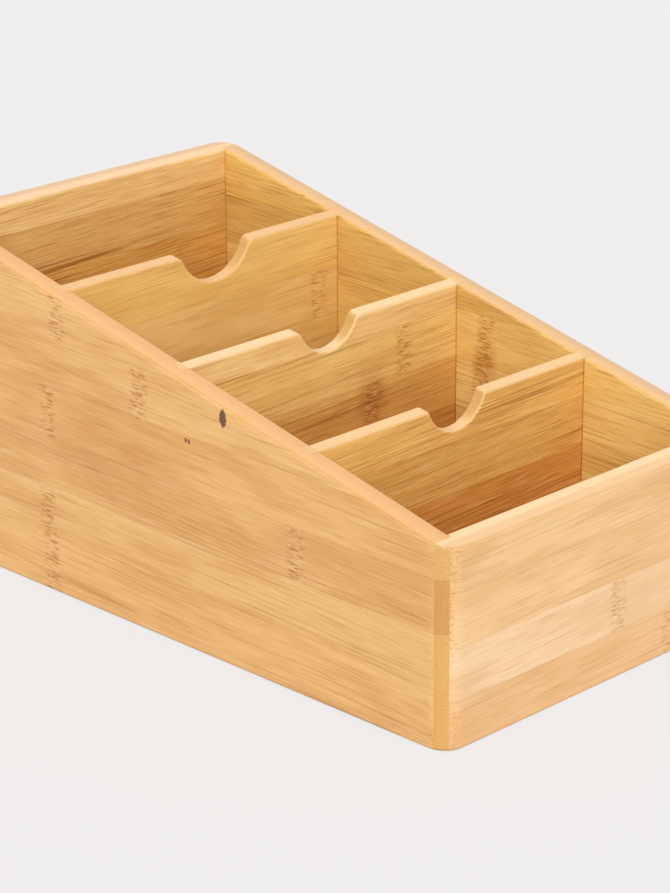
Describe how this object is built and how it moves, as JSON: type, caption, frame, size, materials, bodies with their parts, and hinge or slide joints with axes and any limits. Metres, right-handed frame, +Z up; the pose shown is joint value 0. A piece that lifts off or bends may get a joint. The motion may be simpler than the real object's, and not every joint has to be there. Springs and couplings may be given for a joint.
{
  "type": "desktop organiser box",
  "caption": "Open-topped bamboo tea bag organiser with sloping sides, fixed dividers with thumb notches, and a low front.",
  "frame": {"origin": "middle of the footprint, on the surface the box stands on", "axes": "+X to the right as seen from the low front, +Y from the front to the tall back, +Z up"},
  "size_m": [0.15, 0.26, 0.1296],
  "materials": {
    "bamboo_wall": "satin lacquered bamboo",
    "bamboo_divider": "satin lacquered bamboo",
    "bamboo_base": "satin lacquered bamboo"
  },
  "bodies": {
    "root": {"front_panel": "bamboo_wall", "back_panel": "bamboo_wall", "left_side": "bamboo_wall", "right_side": "bamboo_wall", "front_divider": "bamboo_divider", "middle_divider": "bamboo_divider", "rear_divider": "bamboo_divider", "base_panel": "bamboo_base"}
  },
  "joints": []
}
